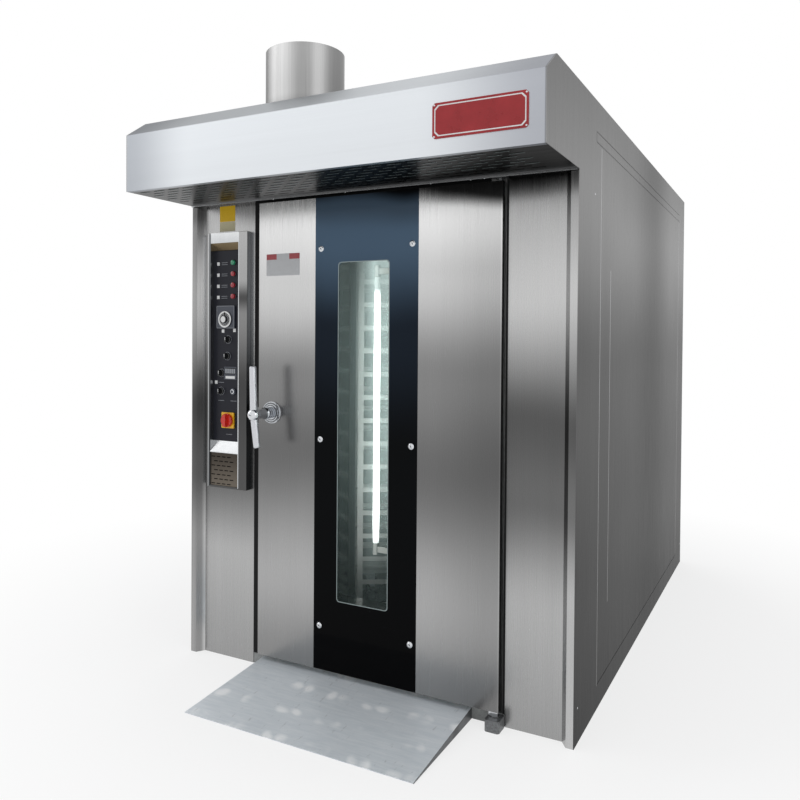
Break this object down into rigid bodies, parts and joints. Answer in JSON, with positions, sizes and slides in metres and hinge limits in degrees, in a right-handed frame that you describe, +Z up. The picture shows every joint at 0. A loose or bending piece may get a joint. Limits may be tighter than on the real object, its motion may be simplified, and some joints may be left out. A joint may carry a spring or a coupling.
{
  "type": "rotating rack oven",
  "caption": "Tall insulated bakery oven with a hinged windowed door, a slotted hood with a round flue, a control column, a floor ramp and a turning rack of trays.",
  "frame": {"origin": "on the floor, at the middle of the bounding box of the oven with its loading ramp", "axes": "+X to the right across the front as seen by someone who faces the door, +Y into the oven's depth, +Z up"},
  "size_m": [1.669, 2.881, 2.414],
  "materials": {
    "satin_sheet": "satin",
    "fascia_sheet": "satin",
    "chamber_sheet": "satin",
    "floor_slab": "matte",
    "mineral_wool": "matte",
    "insulated_wall": "matte",
    "door_filling": "matte",
    "black_glass": "gloss",
    "clear_glass": "gloss",
    "silicone_seal": "matte",
    "bearing_steel": "satin",
    "machined_steel": "satin",
    "heater_sheath": "matte",
    "motor_paint": "satin",
    "hood_sheet": "satin",
    "rack_tube": "satin",
    "caster_zinc": "satin",
    "caster_tread": "matte",
    "fan_wheel": "satin",
    "cast_handle": "satin",
    "polished_fittings": "polished",
    "lamp_unit": "gloss",
    "black_fascia": "satin",
    "pilot_lens": "gloss",
    "instrument_case": "gloss",
    "yellow_plate": "matte",
    "red_knob": "gloss",
    "black_knob": "gloss",
    "green_button": "gloss",
    "red_sign": "gloss",
    "cable_gland": "matte",
    "pipe_steel": "satin"
  },
  "bodies": {
    "cabinet": {"base_pan": "floor_slab", "chamber_floor": "chamber_sheet", "floor_bearing": "bearing_steel", "left_side_skin": "satin_sheet", "right_side_skin": "satin_sheet", "rear_skin": "satin_sheet", "roof_skin": "satin_sheet", "hood_fascia": "fascia_sheet", "hood_grille": "hood_sheet", "front_panels": "satin_sheet", "corner_posts": "fascia_sheet", "door_frame": "insulated_wall", "door_surround_seal": "silicone_seal", "duct_panels": "chamber_sheet", "chamber_liner": "chamber_sheet", "insulation": "mineral_wool", "heating_elements": "heater_sheath", "steam_generator": "pipe_steel", "flue_pipe": "satin_sheet", "exhaust_motor": "motor_paint", "circulation_motor": "motor_paint", "drive_gearmotor": "motor_paint", "power_gland": "cable_gland", "control_bezel": "fascia_sheet", "control_fascia": "black_fascia", "indicator_lamps": "pilot_lens", "panel_instruments": "instrument_case", "switch_plate": "yellow_plate", "vent_plate": "hood_sheet", "loading_ramp": "satin_sheet", "sign_plate": "red_sign", "door_ironwork": "machined_steel"},
    "turntable": {"turntable": "machined_steel", "drive_shaft": "machined_steel", "rack_frame": "rack_tube", "rack_runners": "rack_tube", "caster_mountings": "caster_zinc"},
    "front_swivel": {"front_left_caster_fork": "caster_zinc"},
    "rear_swivel": {"rear_left_caster_fork": "caster_zinc"},
    "front_swivel_wheel": {"front_left_caster_wheel": "caster_tread"},
    "rear_swivel_wheel": {"rear_left_caster_wheel": "caster_tread"},
    "front_fixed_wheel": {"front_right_caster_wheel": "caster_tread"},
    "rear_fixed_wheel": {"rear_right_caster_wheel": "caster_tread"},
    "exhaust_fan": {"exhaust_impeller": "fan_wheel"},
    "circulation_fan": {"circulation_impeller": "fan_wheel"},
    "door": {"door_core": "door_filling", "door_skins": "satin_sheet", "door_black_glass": "black_glass", "window_panes": "clear_glass", "door_gasket": "silicone_seal", "door_fittings": "polished_fittings", "door_lamp": "lamp_unit"},
    "handle": {"door_handle": "cast_handle"},
    "timer_dial": {"timer_dial": "black_knob"},
    "selector_knob_a": {"selector_knob_a": "black_knob"},
    "selector_knob_b": {"selector_knob_b": "black_knob"},
    "selector_knob_c": {"selector_knob_c": "black_knob"},
    "selector_knob_d": {"selector_knob_d": "black_knob"},
    "main_switch": {"main_switch_knob": "red_knob"},
    "push_button": {"push_button": "green_button"}
  },
  "joints": [
    {"name": "door_swing", "type": "hinge", "parent": "cabinet", "child": "door", "pos_m": [0.556, -1.001, 1], "axis": [0, 0, 1], "range_deg": [0, 120]},
    {"name": "handle_turn", "type": "hinge", "parent": "door", "child": "handle", "pos_m": [-0.407, -1.0155, 1.053], "axis": [0, 1, 0], "range_deg": [0, 90]},
    {"name": "turntable_spin", "type": "hinge", "parent": "cabinet", "child": "turntable", "pos_m": [-0.03, -0.2055, 0.05], "axis": [0, 0, 1], "continuous": true},
    {"name": "front_swivel_turn", "type": "hinge", "parent": "turntable", "child": "front_swivel", "pos_m": [-0.14161, -0.64963, 0.14], "axis": [0, 0, 1], "continuous": true},
    {"name": "rear_swivel_turn", "type": "hinge", "parent": "turntable", "child": "rear_swivel", "pos_m": [-0.47811, -0.11112, 0.14], "axis": [0, 0, 1], "continuous": true},
    {"name": "front_swivel_wheel_spin", "type": "hinge", "parent": "front_swivel", "child": "front_swivel_wheel", "pos_m": [-0.12295, -0.63797, 0.0943], "axis": [-0.5299, 0.848, 0], "continuous": true},
    {"name": "rear_swivel_wheel_spin", "type": "hinge", "parent": "rear_swivel", "child": "rear_swivel_wheel", "pos_m": [-0.45945, -0.09946, 0.0943], "axis": [-0.5299, 0.848, 0], "continuous": true},
    {"name": "front_fixed_wheel_spin", "type": "hinge", "parent": "turntable", "child": "front_fixed_wheel", "pos_m": [0.41811, -0.29988, 0.0943], "axis": [-0.5299, 0.848, 0], "continuous": true},
    {"name": "rear_fixed_wheel_spin", "type": "hinge", "parent": "turntable", "child": "rear_fixed_wheel", "pos_m": [0.08161, 0.23863, 0.0943], "axis": [-0.5299, 0.848, 0], "continuous": true},
    {"name": "exhaust_fan_spin", "type": "hinge", "parent": "cabinet", "child": "exhaust_fan", "pos_m": [-0.182, -1.1155, 2.24], "axis": [0, 0, 1], "continuous": true},
    {"name": "circulation_fan_spin", "type": "hinge", "parent": "cabinet", "child": "circulation_fan", "pos_m": [0, 0.8605, 1.9], "axis": [0, 0, 1], "continuous": true},
    {"name": "timer_dial_turn", "type": "hinge", "parent": "cabinet", "child": "timer_dial", "pos_m": [-0.671, -0.9935, 1.431], "axis": [0, 1, 0], "range_deg": [0, 300]},
    {"name": "selector_knob_a_turn", "type": "hinge", "parent": "cabinet", "child": "selector_knob_a", "pos_m": [-0.662, -0.9855, 1.346], "axis": [0, 1, 0], "range_deg": [0, 90]},
    {"name": "selector_knob_b_turn", "type": "hinge", "parent": "cabinet", "child": "selector_knob_b", "pos_m": [-0.666, -0.9855, 1.276], "axis": [0, 1, 0], "range_deg": [-45, 45]},
    {"name": "selector_knob_c_turn", "type": "hinge", "parent": "cabinet", "child": "selector_knob_c", "pos_m": [-0.697, -0.9855, 1.204], "axis": [0, 1, 0], "range_deg": [0, 270]},
    {"name": "selector_knob_d_turn", "type": "hinge", "parent": "cabinet", "child": "selector_knob_d", "pos_m": [-0.699, -0.9855, 1.127], "axis": [0, 1, 0], "range_deg": [0, 90]},
    {"name": "main_switch_turn", "type": "hinge", "parent": "cabinet", "child": "main_switch", "pos_m": [-0.658, -0.9925, 1.005], "axis": [0, 1, 0], "range_deg": [0, 90]},
    {"name": "push_button_press", "type": "slide", "parent": "cabinet", "child": "push_button", "axis": [0, 1, 0], "range_m": [0, 0.004], "stiffness_N_per_m": 300, "springref_m": -0.001}
  ]
}
